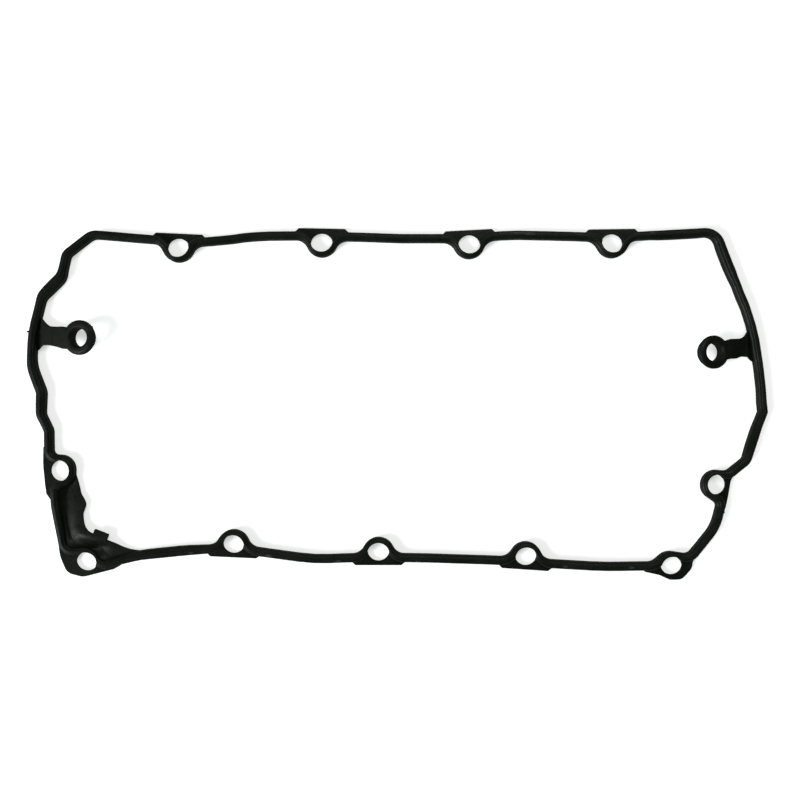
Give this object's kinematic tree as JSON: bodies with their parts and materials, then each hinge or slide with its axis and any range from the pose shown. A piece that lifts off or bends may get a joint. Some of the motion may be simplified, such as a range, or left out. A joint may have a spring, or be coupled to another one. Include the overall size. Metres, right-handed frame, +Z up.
{
  "type": "valve cover gasket",
  "caption": "Moulded rubber valve cover gasket: a tall domed strip round a long opening, with bolt webs, flanged rings on arms and a dished corner apron.",
  "frame": {"origin": "middle of the outline's box, on the plane that the underside rests on", "axes": "+X along the long side towards the end with the pointed corner, +Y towards the long side with four bolt holes, +Z up, away from the sealing face"},
  "size_m": [0.4472, 0.2134, 0.0137],
  "materials": {
    "black_rubber": "satin moulded rubber, near black"
  },
  "bodies": {
    "root": {"gasket": "black_rubber"}
  },
  "joints": []
}
